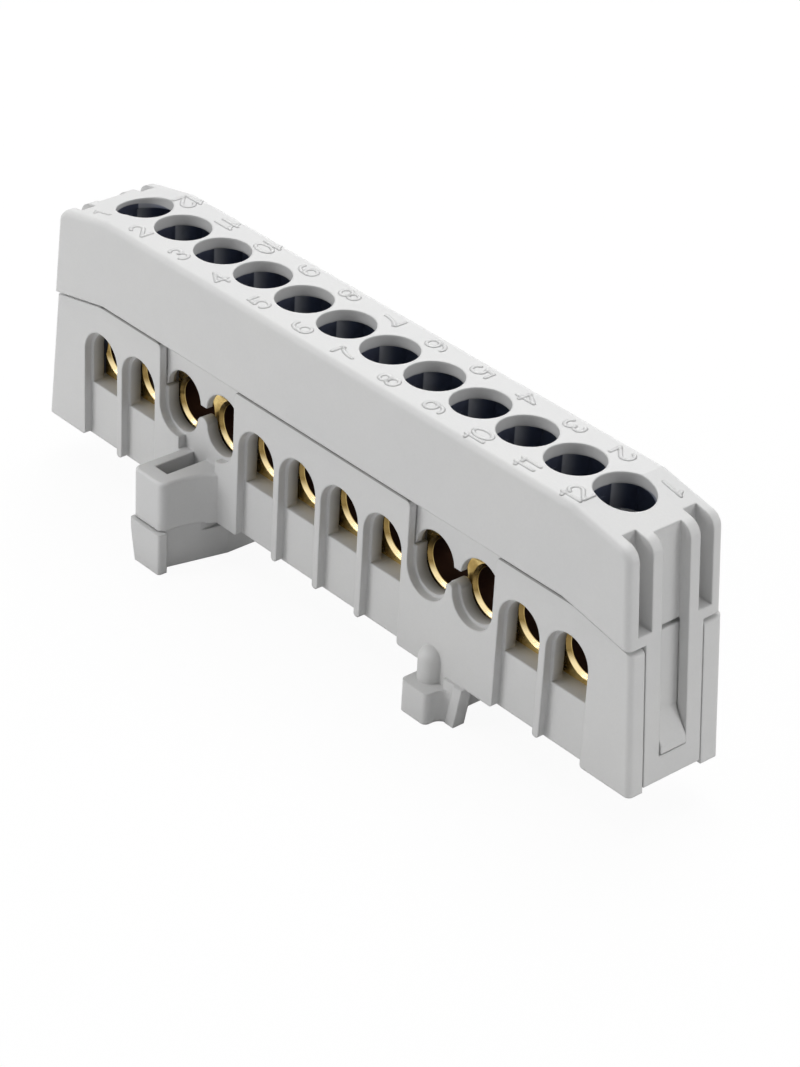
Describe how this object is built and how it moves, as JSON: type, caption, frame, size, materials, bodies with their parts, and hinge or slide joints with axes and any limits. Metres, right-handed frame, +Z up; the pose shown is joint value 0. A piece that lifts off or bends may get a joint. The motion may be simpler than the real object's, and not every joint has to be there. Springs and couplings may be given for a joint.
{
  "type": "terminal block",
  "caption": "Modular terminal block: moulded cover and base round a brass bar with wire bores and clamping screws, on a foot that clips to a 35 mm rail.",
  "frame": {"origin": "middle of the rail seat: z = 0 is the underside of the base, x = 0 the middle of the rail", "axes": "+X along the row of poles towards pole 12, -Y the front, +Z up, away from the rail"},
  "size_m": [0.093, 0.0208, 0.0326],
  "materials": {
    "housing": "fine matte moulded",
    "brass": "machined",
    "screw_steel": "zinc plated",
    "spring_steel": "drawn wire"
  },
  "bodies": {
    "housing": {"cover": "housing", "base": "housing", "busbar": "brass", "latch_spring": "spring_steel"},
    "latch": {"rail_latch": "housing"},
    "screw_01": {"terminal_screw_01": "screw_steel"},
    "screw_02": {"terminal_screw_02": "screw_steel"},
    "screw_03": {"terminal_screw_03": "screw_steel"},
    "screw_04": {"terminal_screw_04": "screw_steel"},
    "screw_05": {"terminal_screw_05": "screw_steel"},
    "screw_06": {"terminal_screw_06": "screw_steel"},
    "screw_07": {"terminal_screw_07": "screw_steel"},
    "screw_08": {"terminal_screw_08": "screw_steel"},
    "screw_09": {"terminal_screw_09": "screw_steel"},
    "screw_10": {"terminal_screw_10": "screw_steel"},
    "screw_11": {"terminal_screw_11": "screw_steel"},
    "screw_12": {"terminal_screw_12": "screw_steel"}
  },
  "joints": [
    {"name": "latch_slide", "type": "slide", "parent": "housing", "child": "latch", "axis": [-1, 0, 0], "range_m": [0, 0.0012], "stiffness_N_per_m": 1500, "springref_m": -0.001, "deforming": ["latch_spring"]},
    {"name": "screw_01_travel", "type": "slide", "parent": "housing", "child": "screw_01", "axis": [0, 0, -1], "range_m": [0, 0.0038]},
    {"name": "screw_02_travel", "type": "slide", "parent": "housing", "child": "screw_02", "axis": [0, 0, -1], "range_m": [0, 0.0038]},
    {"name": "screw_03_travel", "type": "slide", "parent": "housing", "child": "screw_03", "axis": [0, 0, -1], "range_m": [0, 0.0038]},
    {"name": "screw_04_travel", "type": "slide", "parent": "housing", "child": "screw_04", "axis": [0, 0, -1], "range_m": [0, 0.0038]},
    {"name": "screw_05_travel", "type": "slide", "parent": "housing", "child": "screw_05", "axis": [0, 0, -1], "range_m": [0, 0.0038]},
    {"name": "screw_06_travel", "type": "slide", "parent": "housing", "child": "screw_06", "axis": [0, 0, -1], "range_m": [0, 0.0038]},
    {"name": "screw_07_travel", "type": "slide", "parent": "housing", "child": "screw_07", "axis": [0, 0, -1], "range_m": [0, 0.0038]},
    {"name": "screw_08_travel", "type": "slide", "parent": "housing", "child": "screw_08", "axis": [0, 0, -1], "range_m": [0, 0.0038]},
    {"name": "screw_09_travel", "type": "slide", "parent": "housing", "child": "screw_09", "axis": [0, 0, -1], "range_m": [0, 0.0038]},
    {"name": "screw_10_travel", "type": "slide", "parent": "housing", "child": "screw_10", "axis": [0, 0, -1], "range_m": [0, 0.0038]},
    {"name": "screw_11_travel", "type": "slide", "parent": "housing", "child": "screw_11", "axis": [0, 0, -1], "range_m": [0, 0.0038]},
    {"name": "screw_12_travel", "type": "slide", "parent": "housing", "child": "screw_12", "axis": [0, 0, -1], "range_m": [0, 0.0038]}
  ]
}
